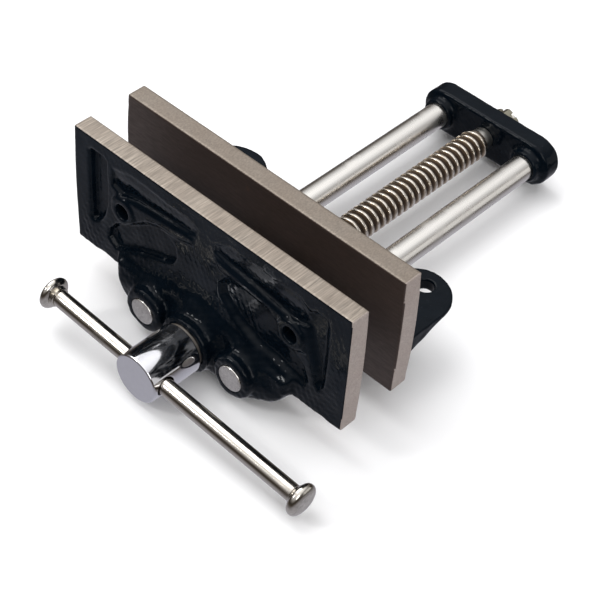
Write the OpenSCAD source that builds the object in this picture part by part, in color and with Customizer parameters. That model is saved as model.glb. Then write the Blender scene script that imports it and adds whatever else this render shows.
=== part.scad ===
// Woodworker's under-bench vise: two cast jaws, twin guide bars, a lead screw with a
// sliding handle, and a tie plate behind the bench. Lengths are millimetres.
// X runs along the jaws, +Y runs under the bench, +Z is up.
// The origin is midway between the two bench bolt holes, on the face that meets the bench.

/* [Jaws] */
// Width of both jaws
jaw_width = 178; // [150:1:230]
// Height of both jaw plates
jaw_height = 70.8; // [62:0.1:95]
// Thickness of the moving front jaw plate
front_jaw_thick = 10.5; // [8:0.1:16]
// Thickness of the fixed rear jaw plate
rear_jaw_thick = 10.7; // [8:0.1:16]
// Height of the jaw tops above the face that meets the bench
jaw_rise = 57; // [48:0.5:66]
// Opening between the jaws as the model stands
jaw_gap = 23.8; // [10:0.1:60]
// How far the casting below each clamping face stands back from that face
clamp_relief = 0.5; // [0.3:0.1:1]

/* [Front casting] */
// Depth of the cast pockets in the front face
pocket_depth = 3.4; // [2:0.1:4.5]
// Height of the pads round the facing-board holes
pad_height = 1.4; // [0.5:0.1:3]
// How far the apron under the plate stands in front of the plate
apron_reach = 6; // [4:0.1:8]
// Wall of the guide bar bosses on the front jaw
bar_boss_wall = 4.55; // [3.5:0.05:5.5]
// How far the guide bar bosses reach in front of the plate
bar_boss_reach = 12; // [9:0.1:16]
// Wall of the screw boss on the front jaw
screw_boss_wall = 6; // [4.5:0.1:7]
// How far the screw boss reaches in front of the plate
screw_boss_reach = 13; // [10:0.1:18]

/* [Facing-board holes] */
// Distance between the two holes of each jaw
facing_hole_spacing = 110.4; // [90:0.1:130]
// Diameter of the holes
facing_hole_d = 8.6; // [5:0.1:10]
// Depth of the front jaw's holes below its top
facing_hole_drop = 32.4; // [28:0.1:38]
// Depth of the rear jaw's holes below its top
rear_hole_drop = 38; // [30:0.1:42]

/* [Bench mounting] */
// Distance between the two bench bolt holes
bolt_spacing = 125; // [112:0.5:136]
// Diameter of the bench bolt holes
bolt_hole_d = 9; // [6:0.1:12]
// Distance from the rear clamping face back to the bolt holes
bolt_setback = 54.2; // [48:0.1:60]
// Radius of the rounded end of each mounting lug
lug_r = 18.5; // [14:0.1:22]
// How far the centre of that round end lies in front of the bolt hole
lug_offset = 7.8; // [3:0.1:10]
// Thickness of the mounting flange at its round ends
flange_thick = 3.5; // [3:0.1:8]
// How far the full depth of the flange reaches behind the jaw plate
flange_root = 6; // [2:0.1:14]
// Depth of the boss round each bench bolt hole, below the face that meets the bench
bolt_boss_depth = 7.3; // [4:0.1:10]

/* [Guide bars] */
// Diameter of the guide bars
bar_d = 14.3; // [11.5:0.1:17.5]
// Distance between the guide bars
bar_spacing = 60; // [58:0.1:72]
// Depth of the guide bars and screw below the jaw tops
axis_drop = 73.7; // [72:0.1:82]
// Length of the rear bearing of each guide bar, from the clamping face
bar_bearing = 31.7; // [26:0.1:40]
// Radial clearance of a guide bar in its rear bearing
bar_clearance = 0.08; // [0.03:0.01:0.1]
// How far each bar end stands out of its boss and of the tie plate
bar_proud = 0.4; // [0.2:0.1:1]
// Distance from the front clamping face to the tie plate
bar_span = 203.4; // [160:0.1:250]

/* [Tie plate] */
// Height of the tie plate, which is also the diameter of its round ends
tie_height = 26; // [24:0.1:32]
// Thickness of the tie plate
tie_thick = 11.7; // [8:0.1:16]
// Wall of the short collars round the guide bars
tie_collar_wall = 2.25; // [1.5:0.05:3]
// Length of those collars
tie_collar_len = 5; // [2:0.1:8]

/* [Screw] */
// Outside diameter of the thread
screw_d = 17.2; // [15:0.1:21]
// Distance from one thread crest to the next
thread_pitch = 4.6; // [4:0.1:6]
// Depth of the thread
thread_depth = 2.1; // [1.5:0.1:2.5]
// How far the plain journal inside the front jaw stands proud of the thread
journal_step = 0.4; // [0.3:0.05:1]
// How far the tail inside the tie plate steps in from the screw's neck
tail_step = 1.8; // [0.5:0.1:2.4]
// Radial clearance of the journal and the tail in their bores
screw_clearance = 0.08; // [0.03:0.01:0.1]
// Clearance between the screw thread and the nut thread
thread_clearance = 0.3; // [0.25:0.01:0.4]

/* [Screw head and handle] */
// Diameter of the screw head
head_d = 26.4; // [24:0.1:29]
// Length of the screw head
head_len = 29.8; // [24:0.1:40]
// Distance from the front of the head back to the handle
handle_setback = 7.7; // [7.5:0.1:10]
// Diameter of the handle rod
handle_d = 8.8; // [7:0.1:10.6]
// Radial play of the handle rod in its hole
handle_play = 0.7; // [0.3:0.05:1]
// Length of the handle rod between its knobs
handle_len = 157; // [120:1:200]
// How far the handle has slid through the head, from its middle
handle_shift = 17; // [-40:1:40]
// Slope of the handle, in degrees below level at its right end
handle_tilt = 2.9; // [-45:0.1:45]
// Diameter of the knobs
knob_d = 17.2; // [14:0.1:22]
// Length of the knobs
knob_len = 7; // [5:0.1:10]

/* [Nut] */
// Wall of the nut barrel pressed into the rear jaw
nut_wall = 4; // [3.2:0.1:4.6]
// How far the nut flange stands out from the barrel
nut_flange_step = 3; // [1.5:0.1:3.5]
// Thickness of the nut flange
nut_flange_thick = 5; // [3:0.1:7]

/* [Small parts] */
// Thickness of the washer between the screw head and the front jaw
front_washer_thick = 1.4; // [1:0.1:2.5]
// Thickness of the washer behind the front jaw
rear_washer_thick = 1.5; // [1:0.1:2.5]
// Thickness of the retaining ring behind that washer
ring_thick = 1.5; // [1:0.1:2]
// Thickness of the washer behind the tie plate
tail_washer_thick = 1.6; // [1:0.1:2.5]
// Wall of the tail nut, from the bore to its flats
tail_nut_wall = 2.8; // [2.2:0.1:4.5]
// Height of the tail nut
tail_nut_len = 8; // [6:0.1:12]
// Diameter of the spring pins that lock the guide bars and the nut
pin_d = 4; // [3:0.1:5]

/* [Hidden] */
$fn = 64;
// Facets of the round children inside a hull
hull_fn = 32;
// Overlap that makes a cut pass right through
eps = 0.5;

// Heights
jaw_top_z = jaw_rise;
jaw_bottom_z = jaw_rise - jaw_height;
axis_z = jaw_rise - axis_drop;
facing_z = jaw_rise - facing_hole_drop;
rear_hole_z = jaw_rise - rear_hole_drop;
bar_x = bar_spacing / 2;

// Stations along Y, from the handle to the tail
rear_clamp_y = -bolt_setback;
rear_back_y = rear_clamp_y + rear_jaw_thick;
front_clamp_y = rear_clamp_y - jaw_gap;
front_face_y = front_clamp_y - front_jaw_thick;
bar_boss_y = front_face_y - bar_boss_reach;
screw_boss_y = front_face_y - screw_boss_reach;
head_back_y = screw_boss_y - front_washer_thick;
head_front_y = head_back_y - head_len;
handle_y = head_front_y + handle_setback;
bearing_end_y = rear_clamp_y + bar_bearing;
tie_front_y = front_clamp_y + bar_span;
tie_back_y = tie_front_y + tie_thick;

// Counterbore behind the front jaw that holds the washer and the retaining ring
journal_d = screw_d + 2 * journal_step;
recess_d = journal_d + 8.6;
washer_d = recess_d - 1;
front_washer_d = journal_d + 6.4;
ring_play = 0.2;
ring_groove_depth = 1.1;
// Journal left behind the groove, and how far that end stands back from the clamping face
groove_land = 1.4;
journal_inset = 2.8;
recess_y = front_clamp_y - journal_inset - groove_land - ring_thick - 2 * ring_play - rear_washer_thick;
ring_groove_y = recess_y + rear_washer_thick + ring_play;
thread_start_y = front_clamp_y - journal_inset;
// Plain neck between the thread and the shoulder that meets the tie plate
neck_len = 2.6;
shoulder_gap = 0.4;
shoulder_y = tie_front_y - shoulder_gap;
thread_end_y = shoulder_y - neck_len;
root_d = screw_d - 2 * thread_depth;
neck_d = root_d - 0.4;
tail_d = neck_d - 2 * tail_step;
tail_nut_af = tail_d + 2 * tail_nut_wall;
tail_end_y = tie_back_y + tail_washer_thick + tail_nut_len + 2.4;

// Spigot of the screw inside the head, with the pin across it
handle_hole_d = handle_d + 2 * handle_play;
spigot_d = screw_d - 3;
spigot_wall = 2;
spigot_len = head_len - handle_setback - handle_hole_d / 2 - spigot_wall;
head_pin_y = head_back_y - spigot_len / 2;
head_pin_d = 4;

// Spring pins, and how far each one enters its bar or the nut
bar_pin_bite = 3;
nut_pin_bite = 2.5;
pin_inset = 0.6;
bar_pin_y = front_face_y + 1;
tie_pin_y = (tie_front_y + tie_back_y) / 2;
nut_pin_y = bearing_end_y - 5.7;

// Bosses of the rear casting, and the clearance hole of the screw ahead of the nut
nut_front_y = rear_clamp_y + 3;
nut_d = screw_d + 2 * nut_wall;
nut_flange_d = nut_d + 2 * nut_flange_step;
nut_boss_d = nut_d + 8;
rear_bar_boss_d = bar_d + 9.5;
screw_hole_d = screw_d + 1;

// Bosses of the front casting and collars of the tie plate
bar_boss_d = bar_d + 2 * bar_boss_wall;
screw_boss_d = journal_d + 2 * screw_boss_wall;
tie_collar_d = bar_d + 2 * tie_collar_wall;

// Apron below the jaw plates
apron_half = bar_x + 25;
shoulder_r = 6.5;
shoulder_drop = 1.3;

// Split pin through the tail
split_pin_d = 2.4;
split_pin_y = tail_end_y - 3.4;

// ---- shared shapes ----

// Round bar along +Y, from y0 to y1, on an axis parallel to Y
module rod_y(d, y0, y1, x = 0, z = axis_z)
    translate([x, y0, z]) rotate([-90, 0, 0]) cylinder(d = d, h = y1 - y0);

// Outline in X and Z, extruded from y0 to y1
module slab_y(y0, y1)
    translate([0, y1, 0]) rotate([90, 0, 0]) linear_extrude(y1 - y0) children();

// Round bar along Y with a bevelled front edge
module boss_y(d, y0, y1, x, bevel) {
    rod_y(d, y0 + bevel, y1, x);
    translate([x, y0, axis_z]) rotate([-90, 0, 0]) cylinder(d1 = d - 2 * bevel, d2 = d, h = bevel);
}

// Outline below the jaw plate that joins the three bosses and widens into rounded shoulders
module apron_outline(boss_d)
    hull() for (side = [-1, 1]) {
        translate([side * bar_x, axis_z]) circle(d = boss_d, $fn = hull_fn);
        translate([side * (apron_half - shoulder_r), axis_z - shoulder_drop])
            circle(shoulder_r, $fn = hull_fn);
    }

// Hexagonal prism along +Y
module hex_y(af, y0, y1, d_hole)
    difference() {
        translate([0, y0, axis_z]) rotate([-90, 0, 0]) rotate([0, 0, 30])
            cylinder(d = af / cos(30), h = y1 - y0, $fn = 6);
        rod_y(d_hole, y0 - eps, y1 + eps);
    }

// Flat ring along +Y
module ring_y(d_out, d_in, y0, thick)
    difference() {
        rod_y(d_out, y0, y0 + thick);
        rod_y(d_in, y0 - eps, y0 + thick + eps);
    }

// ---- thread ----

thread_steps = 16;
crest_share = 0.3;
flank_share = 0.22;

// Profile along one pitch: axial share and whether the point lies on the crest
thread_profile = [[0, 0], [flank_share, 1], [flank_share + crest_share, 1],
                  [2 * flank_share + crest_share, 0]];

function on_circle(r, turn_angle, z) = [r * cos(turn_angle), r * sin(turn_angle), z];

// Whole turns that fit on a rod with a third of a pitch left at each end, and where they start
function whole_turns(length, pitch) = floor(length / pitch - 2 / 3);
function thread_inset(length, pitch) = (length - whole_turns(length, pitch) * pitch) / 2;

// Right-hand threaded rod along +Z with flat ends, whose thread fades in and out over half a turn
module threaded_rod(r_root, r_crest, pitch, length) {
    n = thread_steps;
    turns = whole_turns(length, pitch) - 1;
    steps = turns * n;
    z0 = thread_inset(length, pitch);
    fade = function(s) min(1, 2 * s / n, 2 * (steps - s) / n);
    helix = [for (s = [0:steps]) for (p = thread_profile)
        on_circle(r_root + p[1] * fade(s) * (r_crest - r_root), 360 * s / n,
                  z0 + pitch * (s / n + p[0]))];
    upper = [for (s = [0:n]) on_circle(r_root, 360 * s / n, z0 + pitch * (turns + s / n))];
    rings = [for (z = [0, length]) for (k = [0:n - 1]) on_circle(r_root, 360 * k / n, z)];
    h = function(s, j) s * 4 + j;
    u = function(s) (steps + 1) * 4 + s;
    low = function(k) u(n + 1) + k % n;
    top = function(k) u(n + 1) + n + k % n;
    next_turn = function(s) s <= steps ? h(s, 0) : u(s - steps);
    sides = [for (s = [0:steps - 1]) for (j = [0:2]) [h(s, j), h(s + 1, j), h(s + 1, j + 1), h(s, j + 1)]];
    roots = [for (s = [0:steps - 1]) [h(s, 3), h(s + 1, 3), next_turn(s + 1 + n), next_turn(s + n)]];
    low_band = [for (k = [0:n - 2]) [low(k), low(k + 1), h(k + 1, 0), h(k, 0)]];
    low_seam = [[low(n - 1), low(0), h(n - 1, 0)], [low(0), h(0, 0), h(n - 1, 0)],
                for (j = [0:2]) [h(0, j), h(0, j + 1), h(n - 1, 0)],
                [h(0, 3), h(n, 0), h(n - 1, 0)]];
    top_band = [for (k = [1:n - 1]) [u(k), u(k + 1), top(k + 1), top(k)]];
    top_seam = [[u(1), top(1), top(0)], [u(1), top(0), u(n)], [u(1), u(n), h(steps, 3)],
                for (j = [2:-1:0]) [u(1), h(steps, j + 1), h(steps, j)]];
    caps = [[for (k = [n - 1:-1:0]) low(k)], [for (k = [0:n - 1]) top(k)]];
    reversed = function(f) [for (i = [len(f) - 1:-1:0]) f[i]];
    polyhedron(points = concat(helix, upper, rings),
               faces = [for (f = concat(sides, roots, low_band, low_seam, top_band, top_seam, caps))
                        reversed(f)], convexity = 10);
}

// Helical ridge along +Z that runs in the groove of the threaded rod
module thread_ridge(r_in, r_out, w_in, w_out, pitch, turns) {
    n = thread_steps;
    section = [[r_out, -w_out / 2], [r_in, -w_in / 2], [r_in, w_in / 2], [r_out, w_out / 2]];
    steps = turns * n;
    points = [for (s = [0:steps]) for (p = section) on_circle(p[0], 360 * s / n, pitch * s / n + p[1])];
    sides = [for (s = [0:steps - 1]) for (j = [0:3])
        [s * 4 + j, (s + 1) * 4 + j, (s + 1) * 4 + (j + 1) % 4, s * 4 + (j + 1) % 4]];
    ends = [[0, 1, 2, 3], [for (j = [3:-1:0]) steps * 4 + j]];
    polyhedron(points = points, faces = concat(sides, ends), convexity = 10);
}

// ---- fixed rear jaw ----

// Two rounded lugs and the web between them, in plan
module flange_plan() {
    web_depth = 20;
    translate([-bolt_spacing / 2, rear_back_y - eps]) square([bolt_spacing, web_depth]);
    for (side = [-1, 1]) translate([side * bolt_spacing / 2, 0]) {
        translate([0, -lug_offset]) circle(lug_r);
        translate([-lug_r, rear_back_y - eps]) square([2 * lug_r, -lug_offset - rear_back_y + eps]);
    }
}

// Mounting flange: flat on top, deep at the jaw plate, thin at its round ends, with a boss
// under each bolt hole
module mounting_flange() {
    lug_back_y = lug_r - lug_offset;
    difference() {
        union() {
            intersection() {
                translate([0, 0, jaw_bottom_z]) linear_extrude(-jaw_bottom_z) flange_plan();
                translate([-jaw_width / 2, 0, 0]) rotate([90, 0, 90]) linear_extrude(jaw_width)
                    polygon([[rear_back_y - eps, 0], [lug_back_y, 0], [lug_back_y, -flange_thick],
                             [-lug_offset, -flange_thick], [rear_back_y + flange_root, jaw_bottom_z],
                             [rear_back_y - eps, jaw_bottom_z]]);
            }
            for (side = [-1, 1]) translate([side * bolt_spacing / 2, 0, -bolt_boss_depth])
                cylinder(d = bolt_hole_d + 7, h = bolt_boss_depth);
        }
        for (side = [-1, 1]) translate([side * bolt_spacing / 2, 0, jaw_bottom_z - eps])
            cylinder(d = bolt_hole_d, h = -jaw_bottom_z + 2 * eps);
    }
}

// Round clearance holes for the screws of a wooden facing board
module facing_holes(y0, y1, z)
    for (side = [-1, 1]) rod_y(facing_hole_d, y0, y1, side * facing_hole_spacing / 2, z);

module rear_jaw() color([0.10, 0.13, 0.18]) {
    boss_front = rear_clamp_y + clamp_relief;
    difference() {
        union() {
            translate([-jaw_width / 2, rear_clamp_y, jaw_bottom_z])
                cube([jaw_width, rear_jaw_thick, jaw_height]);
            slab_y(boss_front, rear_back_y) apron_outline(rear_bar_boss_d);
            // Bearings and nut housing, cut off flush with the face that meets the bench
            difference() {
                union() {
                    for (side = [-1, 1])
                        rod_y(rear_bar_boss_d, boss_front, bearing_end_y, side * bar_x);
                    rod_y(nut_boss_d, boss_front, bearing_end_y);
                }
                translate([-bar_spacing, rear_back_y, 0])
                    cube([2 * bar_spacing, bar_bearing, nut_boss_d]);
            }
            translate([-bar_x, rear_back_y - eps, axis_z])
                cube([bar_spacing, bearing_end_y - rear_back_y + eps, -axis_z]);
            mounting_flange();
        }
        for (side = [-1, 1])
            rod_y(bar_d + 2 * bar_clearance, rear_clamp_y - eps, bearing_end_y + eps, side * bar_x);
        rod_y(screw_hole_d, rear_clamp_y - eps, nut_front_y + eps);
        rod_y(nut_d, nut_front_y, bearing_end_y + eps);
        translate([0, nut_pin_y, axis_z - nut_boss_d]) cylinder(d = pin_d, h = nut_boss_d);
        facing_holes(rear_clamp_y - eps, rear_back_y + eps, rear_hole_z);
    }
}

module main_nut() color([0.63, 0.55, 0.38]) {
    bore_r = screw_d / 2 + thread_clearance;
    ridge_in = root_d / 2 + thread_clearance;
    ridge_out = bore_r + eps;
    groove_w = function(r) thread_pitch * (1 - crest_share - 2 * flank_share)
        + 2 * thread_pitch * flank_share * (r - root_d / 2) / thread_depth;
    nut_back_y = bearing_end_y + nut_flange_thick;
    groove_phase = thread_inset(thread_len, thread_pitch)
        + (0.5 + flank_share + crest_share / 2) * thread_pitch;
    skipped_turns = ceil((nut_front_y - thread_start_y - groove_phase) / thread_pitch + 0.5);
    ridge_y = thread_start_y + groove_phase + skipped_turns * thread_pitch;
    ridge_turns = floor((nut_back_y - ridge_y) / thread_pitch - 0.5);
    difference() {
        union() {
            rod_y(nut_d, nut_front_y, bearing_end_y);
            rod_y(nut_flange_d, bearing_end_y, nut_back_y);
        }
        rod_y(2 * bore_r, nut_front_y - eps, nut_back_y + eps);
        translate([0, nut_pin_y, axis_z - nut_d]) cylinder(d = pin_d, h = nut_d / 2 + nut_pin_bite);
    }
    translate([0, ridge_y, axis_z]) rotate([-90, 0, 0])
        thread_ridge(ridge_in, ridge_out, groove_w(ridge_in) - 2 * thread_clearance,
                     groove_w(ridge_out) - 2 * thread_clearance, thread_pitch, ridge_turns);
}

module nut_pin() color([0.5, 0.5, 0.52])
    translate([0, nut_pin_y, axis_z - nut_boss_d / 2])
        cylinder(d = pin_d, h = (nut_boss_d - nut_d) / 2 + nut_pin_bite);

// ---- moving front jaw ----

// Cast pockets of the right half of the front face, as outlines in X and Z
module pocket_outlines() {
    pad_x = facing_hole_spacing / 2;
    slot_out = jaw_width / 2 - 9.5;
    slot_in = pad_x + 12;
    // Tall slot beside the end of the jaw, which narrows to its lower outer corner
    polygon([[slot_in, jaw_top_z - 6], [slot_out, jaw_top_z - 6], [slot_out, jaw_top_z - 55],
             [slot_out - 3, jaw_top_z - 54], [slot_in + 4, jaw_top_z - 47], [slot_in, jaw_top_z - 37]]);
    // Shallow channel under the top edge
    polygon([[8, jaw_top_z - 8], [pad_x + 4, jaw_top_z - 7], [pad_x + 4, jaw_top_z - 20.5],
             [pad_x - 25, jaw_top_z - 18], [9, jaw_top_z - 17], [6.5, jaw_top_z - 14]]);
    // Kidney-shaped pocket between the facing pad and the apron
    polygon([[16, facing_z + 2], [20, facing_z + 5], [pad_x - 17, facing_z + 4.5],
             [pad_x - 10, facing_z - 4], [pad_x - 4, facing_z - 11], [pad_x + 5, facing_z - 12],
             [pad_x + 11, facing_z - 18], [pad_x + 11, facing_z - 27], [pad_x, facing_z - 26],
             [pad_x - 18, facing_z - 20], [22, facing_z - 14], [16, facing_z - 8]]);
}

module front_jaw() color([0.10, 0.13, 0.18]) {
    back_y = front_clamp_y - clamp_relief;
    shoulder_y0 = front_face_y - apron_reach;
    brow_z = jaw_bottom_z + 20;
    brow_half = apron_half - 12;
    boss_bevel = 2;
    pad_d = facing_hole_d + 8;
    difference() {
        union() {
            difference() {
                translate([-jaw_width / 2, front_face_y, jaw_bottom_z])
                    cube([jaw_width, front_jaw_thick, jaw_height]);
                slab_y(front_face_y - eps, front_face_y + pocket_depth) {
                    pocket_outlines();
                    mirror([1, 0]) pocket_outlines();
                }
            }
            for (side = [-1, 1])
                rod_y(pad_d, front_face_y - pad_height, front_clamp_y, side * facing_hole_spacing / 2,
                      facing_z);
            slab_y(shoulder_y0, back_y) apron_outline(bar_boss_d);
            // Brow that slopes from the plate out to the bosses
            hull() {
                translate([-brow_half, front_face_y, axis_z]) cube([2 * brow_half, 1, brow_z - axis_z]);
                for (side = [-1, 1]) rod_y(bar_boss_d - 2 * boss_bevel, bar_boss_y + boss_bevel,
                                           front_face_y, side * bar_x, $fn = hull_fn);
            }
            for (side = [-1, 1]) boss_y(bar_boss_d, bar_boss_y, back_y, side * bar_x, boss_bevel);
            boss_y(screw_boss_d, screw_boss_y, back_y, 0, 1);
        }
        for (side = [-1, 1]) {
            rod_y(bar_d, bar_boss_y - eps, front_clamp_y + eps, side * bar_x);
            translate([side * bar_x, bar_pin_y, axis_z - bar_boss_d]) cylinder(d = pin_d, h = bar_boss_d);
        }
        rod_y(journal_d + 2 * screw_clearance, screw_boss_y - eps, front_clamp_y);
        rod_y(recess_d, recess_y, front_clamp_y + eps);
        facing_holes(front_face_y - pad_height - eps, front_clamp_y + eps, facing_z);
    }
}

// Guide bar on one side, cross-drilled for its two spring pins
module guide_bar(side)
    difference() {
        rod_y(bar_d, bar_boss_y - bar_proud, tie_back_y + bar_proud, side * bar_x);
        for (y = [bar_pin_y, tie_pin_y])
            translate([side * bar_x, y, axis_z - bar_d]) cylinder(d = pin_d, h = bar_d + bar_pin_bite);
    }
module left_guide_bar() color([0.78, 0.77, 0.75]) guide_bar(-1);
module right_guide_bar() color([0.78, 0.77, 0.75]) guide_bar(1);

// Spring pins that come up from below into each guide bar
module bar_pins(y, length_below)
    for (side = [-1, 1]) translate([side * bar_x, y, axis_z - length_below])
        cylinder(d = pin_d, h = length_below + bar_pin_bite);
module guide_bar_front_pins() color([0.5, 0.5, 0.52])
    bar_pins(bar_pin_y, bar_boss_d / 2 - pin_inset);
module guide_bar_rear_pins() color([0.5, 0.5, 0.52])
    bar_pins(tie_pin_y, tie_height / 2 - pin_inset);

module tie_plate() color([0.12, 0.14, 0.18])
    difference() {
        union() {
            slab_y(tie_front_y, tie_back_y) {
                for (side = [-1, 1]) translate([side * bar_x, axis_z]) circle(d = tie_height);
                translate([-bar_x, axis_z - tie_height / 2]) square([bar_spacing, tie_height]);
            }
            for (side = [-1, 1])
                rod_y(tie_collar_d, tie_front_y - tie_collar_len, tie_back_y, side * bar_x);
        }
        for (side = [-1, 1]) {
            rod_y(bar_d, tie_front_y - tie_collar_len - eps, tie_back_y + eps, side * bar_x);
            translate([side * bar_x, tie_pin_y, axis_z - tie_height]) cylinder(d = pin_d, h = tie_height);
        }
        rod_y(tail_d + 2 * screw_clearance, tie_front_y - eps, tie_back_y + eps);
    }

// ---- screw ----

thread_len = thread_end_y - thread_start_y;

module lead_screw() color([0.66, 0.63, 0.58]) {
    difference() {
        union() {
            rod_y(spigot_d, head_back_y - spigot_len, head_back_y);
            rod_y(journal_d, head_back_y, thread_start_y);
            rod_y(neck_d, thread_end_y, shoulder_y);
            rod_y(tail_d, shoulder_y, tail_end_y);
            translate([0, thread_start_y, axis_z]) rotate([-90, 0, 0])
                threaded_rod(root_d / 2, screw_d / 2, thread_pitch, thread_len);
        }
        ring_y(journal_d + 1, journal_d - 2 * ring_groove_depth, ring_groove_y, ring_thick + ring_play);
        translate([0, head_pin_y, axis_z - spigot_d]) cylinder(d = head_pin_d, h = 2 * spigot_d);
        translate([0, split_pin_y, axis_z]) rotate([0, 90, 0])
            cylinder(d = split_pin_d, h = 2 * tail_d, center = true);
    }
}

// Children turned to the handle's slope, about the screw axis
module at_handle() translate([0, handle_y, axis_z]) rotate([0, handle_tilt, 0]) children();

module screw_head() color([0.75, 0.75, 0.78]) {
    bevel = 0.8;
    difference() {
        union() {
            rod_y(head_d, head_front_y + bevel, head_back_y);
            translate([0, head_front_y, axis_z]) rotate([-90, 0, 0])
                cylinder(d1 = head_d - 2 * bevel, d2 = head_d, h = bevel);
        }
        rod_y(spigot_d, head_back_y - spigot_len, head_back_y + eps);
        at_handle() rotate([0, 90, 0]) cylinder(d = handle_hole_d, h = 2 * head_d, center = true);
        translate([0, head_pin_y, axis_z - head_d]) cylinder(d = head_pin_d, h = 2 * head_d);
    }
}

module head_pin() color([0.5, 0.5, 0.52])
    translate([0, head_pin_y, axis_z - head_d / 2 + pin_inset])
        cylinder(d = head_pin_d, h = head_d - 2 * pin_inset);

module front_thrust_washer() color([0.55, 0.55, 0.56])
    ring_y(front_washer_d, journal_d + 0.6, screw_boss_y - front_washer_thick, front_washer_thick);

module rear_thrust_washer() color([0.55, 0.55, 0.56])
    ring_y(washer_d, journal_d + 0.4, recess_y, rear_washer_thick);

// Open ring that snaps into the journal's groove
module retaining_ring() color([0.25, 0.25, 0.27]) {
    gap = 6;
    difference() {
        ring_y(recess_d - 2, journal_d - 2 * ring_groove_depth + 0.1, ring_groove_y + ring_play / 2,
               ring_thick);
        translate([-gap / 2, ring_groove_y - eps, axis_z - recess_d])
            cube([gap, ring_thick + ring_play + 2 * eps, recess_d]);
    }
}

module tail_washer() color([0.72, 0.71, 0.64])
    ring_y(tail_nut_af + 3, tail_d + 0.6, tie_back_y, tail_washer_thick);

// Castle nut: a hexagon with six slots across its back face
module tail_nut() color([0.76, 0.74, 0.62]) {
    nut_y = tie_back_y + tail_washer_thick;
    slot_depth = nut_y + tail_nut_len - split_pin_y + split_pin_d / 2 + 0.3;
    difference() {
        hex_y(tail_nut_af, nut_y, nut_y + tail_nut_len, tail_d);
        for (turn = [0, 60, 120])
            translate([0, nut_y + tail_nut_len, axis_z]) rotate([0, turn, 0])
                translate([-tail_nut_af, -slot_depth, -split_pin_d / 2 - 0.2])
                    cube([2 * tail_nut_af, slot_depth + eps, split_pin_d + 0.4]);
    }
}

// Split pin through the tail, with its two legs bent back along the nut
module split_pin() color([0.72, 0.72, 0.72]) {
    pin_half = tail_nut_af / 2 + 2.5;
    translate([0, split_pin_y, axis_z]) {
        rotate([0, 90, 0]) cylinder(d = split_pin_d - 0.1, h = 2 * pin_half, center = true);
        translate([pin_half, 0, 0]) rotate([0, 90, 0]) rotate_extrude() translate([1.2, 0]) circle(d = 1.4);
    }
}

// ---- handle ----

stub_d = handle_d - 2.8;
stub_len = 3.6;

// Rod with a thinner threaded stub at each end
module handle_rod() color([0.70, 0.68, 0.64])
    at_handle() translate([handle_shift, 0, 0]) rotate([0, 90, 0]) {
        cylinder(d = handle_d, h = handle_len, center = true);
        cylinder(d = stub_d, h = handle_len + 2 * stub_len, center = true);
    }

// Domed knob along +X from the end of the rod, with a socket for the stub
module knob()
    rotate([0, 90, 0]) difference() {
        rotate_extrude() polygon([[0, 0], [handle_d / 2 + 0.6, 0], [handle_d / 2 + 1.6, 0.8],
            [knob_d / 2 - 1, 2.4], [knob_d / 2, 3.6], [knob_d / 2 - 0.4, 4.8],
            [knob_d / 2 - 2.4, knob_len - 0.8], [knob_d / 4, knob_len], [0, knob_len]]);
        translate([0, 0, -eps]) cylinder(d = stub_d, h = stub_len + eps);
    }
module left_knob() color([0.74, 0.73, 0.70])
    at_handle() translate([handle_shift - handle_len / 2, 0, 0]) mirror([1, 0, 0]) knob();
module right_knob() color([0.74, 0.73, 0.70])
    at_handle() translate([handle_shift + handle_len / 2, 0, 0]) knob();

rear_jaw();
main_nut();
nut_pin();
front_jaw();
left_guide_bar();
right_guide_bar();
guide_bar_front_pins();
tie_plate();
guide_bar_rear_pins();
lead_screw();
screw_head();
head_pin();
front_thrust_washer();
rear_thrust_washer();
retaining_ring();
tail_washer();
tail_nut();
split_pin();
handle_rod();
left_knob();
right_knob();
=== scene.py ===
import bmesh
import bpy
import math
import numpy as np
from mathutils import Matrix, Vector


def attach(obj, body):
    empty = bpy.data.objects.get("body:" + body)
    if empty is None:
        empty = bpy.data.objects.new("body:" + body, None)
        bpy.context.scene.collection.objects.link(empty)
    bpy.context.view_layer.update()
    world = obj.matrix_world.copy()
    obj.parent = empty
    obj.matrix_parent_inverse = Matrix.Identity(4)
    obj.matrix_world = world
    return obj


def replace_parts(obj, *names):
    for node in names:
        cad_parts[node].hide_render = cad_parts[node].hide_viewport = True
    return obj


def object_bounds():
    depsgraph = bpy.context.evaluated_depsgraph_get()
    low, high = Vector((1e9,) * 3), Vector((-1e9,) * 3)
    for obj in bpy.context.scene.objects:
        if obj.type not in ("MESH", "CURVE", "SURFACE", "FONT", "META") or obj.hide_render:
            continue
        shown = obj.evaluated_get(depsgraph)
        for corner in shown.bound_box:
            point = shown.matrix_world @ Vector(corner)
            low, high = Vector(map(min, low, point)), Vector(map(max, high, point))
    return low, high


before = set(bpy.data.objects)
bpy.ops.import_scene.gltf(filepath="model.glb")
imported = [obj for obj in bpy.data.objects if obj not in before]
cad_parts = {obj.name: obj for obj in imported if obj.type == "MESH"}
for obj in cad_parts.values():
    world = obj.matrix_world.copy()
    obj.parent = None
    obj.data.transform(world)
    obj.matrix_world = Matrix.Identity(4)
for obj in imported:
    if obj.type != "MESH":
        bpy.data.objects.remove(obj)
cad_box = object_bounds()
MM = 0.001

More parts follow.
